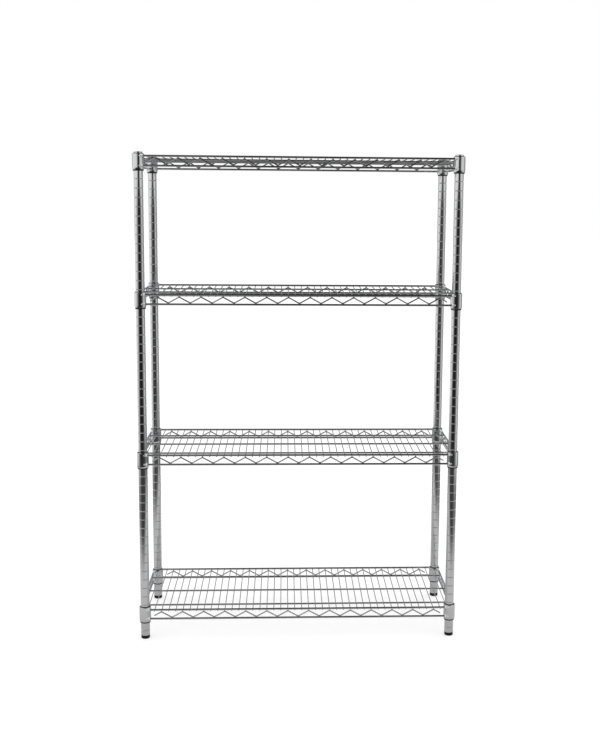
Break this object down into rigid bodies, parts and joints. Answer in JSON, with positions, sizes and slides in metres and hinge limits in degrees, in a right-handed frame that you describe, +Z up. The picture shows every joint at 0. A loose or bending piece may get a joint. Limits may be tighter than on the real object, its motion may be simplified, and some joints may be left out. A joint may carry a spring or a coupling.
{
  "type": "wire shelving unit",
  "caption": "Free-standing chrome wire shelving unit: grooved posts on levelling feet carry welded wire shelves, each wedged on tapered split sleeves.",
  "frame": {"origin": "on the floor at the middle of the four posts", "axes": "+Z up, +X to the right seen from the front, +Y to the rear"},
  "size_m": [0.921, 0.357, 1.3962],
  "materials": {
    "chrome": "bright chrome plate on steel",
    "cap": "bright chrome-coloured plastic",
    "black_plastic": "moulded black plastic",
    "stud_steel": "zinc-plated steel"
  },
  "bodies": {
    "posts": {"post_front_left": "chrome", "post_front_right": "chrome", "post_rear_left": "chrome", "post_rear_right": "chrome", "caps": "cap", "foot_inserts": "black_plastic", "bottom_shelf_left_sleeves": "black_plastic", "bottom_shelf_right_sleeves": "black_plastic", "lower_shelf_left_sleeves": "black_plastic", "lower_shelf_right_sleeves": "black_plastic", "upper_shelf_left_sleeves": "black_plastic", "upper_shelf_right_sleeves": "black_plastic", "top_shelf_left_sleeves": "black_plastic", "top_shelf_right_sleeves": "black_plastic"},
    "bottom_shelf": {"bottom_shelf_left_collars": "chrome", "bottom_shelf_right_collars": "chrome", "bottom_shelf_long_rails": "chrome", "bottom_shelf_side_rails": "chrome", "bottom_shelf_front_zigzag": "chrome", "bottom_shelf_rear_zigzag": "chrome", "bottom_shelf_side_zigzags": "chrome", "bottom_shelf_deck_wires": "chrome", "bottom_shelf_runners": "chrome"},
    "lower_shelf": {"lower_shelf_left_collars": "chrome", "lower_shelf_right_collars": "chrome", "lower_shelf_long_rails": "chrome", "lower_shelf_side_rails": "chrome", "lower_shelf_front_zigzag": "chrome", "lower_shelf_rear_zigzag": "chrome", "lower_shelf_side_zigzags": "chrome", "lower_shelf_deck_wires": "chrome", "lower_shelf_runners": "chrome"},
    "upper_shelf": {"upper_shelf_left_collars": "chrome", "upper_shelf_right_collars": "chrome", "upper_shelf_long_rails": "chrome", "upper_shelf_side_rails": "chrome", "upper_shelf_front_zigzag": "chrome", "upper_shelf_rear_zigzag": "chrome", "upper_shelf_side_zigzags": "chrome", "upper_shelf_deck_wires": "chrome", "upper_shelf_runners": "chrome"},
    "top_shelf": {"top_shelf_left_collars": "chrome", "top_shelf_right_collars": "chrome", "top_shelf_long_rails": "chrome", "top_shelf_side_rails": "chrome", "top_shelf_front_zigzag": "chrome", "top_shelf_rear_zigzag": "chrome", "top_shelf_side_zigzags": "chrome", "top_shelf_deck_wires": "chrome", "top_shelf_runners": "chrome"},
    "foot_stud_front_left": {"stud_front_left": "stud_steel"},
    "foot_pad_front_left": {"pad_front_left": "black_plastic"},
    "foot_stud_front_right": {"stud_front_right": "stud_steel"},
    "foot_pad_front_right": {"pad_front_right": "black_plastic"},
    "foot_stud_rear_left": {"stud_rear_left": "stud_steel"},
    "foot_pad_rear_left": {"pad_rear_left": "black_plastic"},
    "foot_stud_rear_right": {"stud_rear_right": "stud_steel"},
    "foot_pad_rear_right": {"pad_rear_right": "black_plastic"}
  },
  "joints": [
    {"name": "bottom_shelf_lift", "type": "slide", "parent": "posts", "child": "bottom_shelf", "axis": [0, 0, 1], "range_m": [0, 0.405]},
    {"name": "lower_shelf_lift", "type": "slide", "parent": "posts", "child": "lower_shelf", "axis": [0, 0, 1], "range_m": [0, 0.405]},
    {"name": "upper_shelf_lift", "type": "slide", "parent": "posts", "child": "upper_shelf", "axis": [0, 0, 1], "range_m": [0, 0.33]},
    {"name": "top_shelf_lift", "type": "slide", "parent": "posts", "child": "top_shelf", "axis": [0, 0, 1], "range_m": [0, 0.06]},
    {"name": "foot_rise_front_left", "type": "slide", "parent": "posts", "child": "foot_stud_front_left", "axis": [0, 0, 1], "range_m": [-0.012, 0]},
    {"name": "foot_turn_front_left", "type": "hinge", "parent": "foot_stud_front_left", "child": "foot_pad_front_left", "pos_m": [-0.444, -0.162, 0], "axis": [0, 0, 1], "range_deg": [-2880, 0]},
    {"name": "foot_rise_front_right", "type": "slide", "parent": "posts", "child": "foot_stud_front_right", "axis": [0, 0, 1], "range_m": [-0.012, 0]},
    {"name": "foot_turn_front_right", "type": "hinge", "parent": "foot_stud_front_right", "child": "foot_pad_front_right", "pos_m": [0.444, -0.162, 0], "axis": [0, 0, 1], "range_deg": [-2880, 0]},
    {"name": "foot_rise_rear_left", "type": "slide", "parent": "posts", "child": "foot_stud_rear_left", "axis": [0, 0, 1], "range_m": [-0.012, 0]},
    {"name": "foot_turn_rear_left", "type": "hinge", "parent": "foot_stud_rear_left", "child": "foot_pad_rear_left", "pos_m": [-0.444, 0.162, 0], "axis": [0, 0, 1], "range_deg": [-2880, 0]},
    {"name": "foot_rise_rear_right", "type": "slide", "parent": "posts", "child": "foot_stud_rear_right", "axis": [0, 0, 1], "range_m": [-0.012, 0]},
    {"name": "foot_turn_rear_right", "type": "hinge", "parent": "foot_stud_rear_right", "child": "foot_pad_rear_right", "pos_m": [0.444, 0.162, 0], "axis": [0, 0, 1], "range_deg": [-2880, 0]}
  ],
  "couplings": [
    {"joint": "foot_turn_front_left", "follows": "foot_rise_front_left", "rad_per_m": 4188.8},
    {"joint": "foot_turn_front_right", "follows": "foot_rise_front_right", "rad_per_m": 4188.8},
    {"joint": "foot_turn_rear_left", "follows": "foot_rise_rear_left", "rad_per_m": 4188.8},
    {"joint": "foot_turn_rear_right", "follows": "foot_rise_rear_right", "rad_per_m": 4188.8}
  ]
}
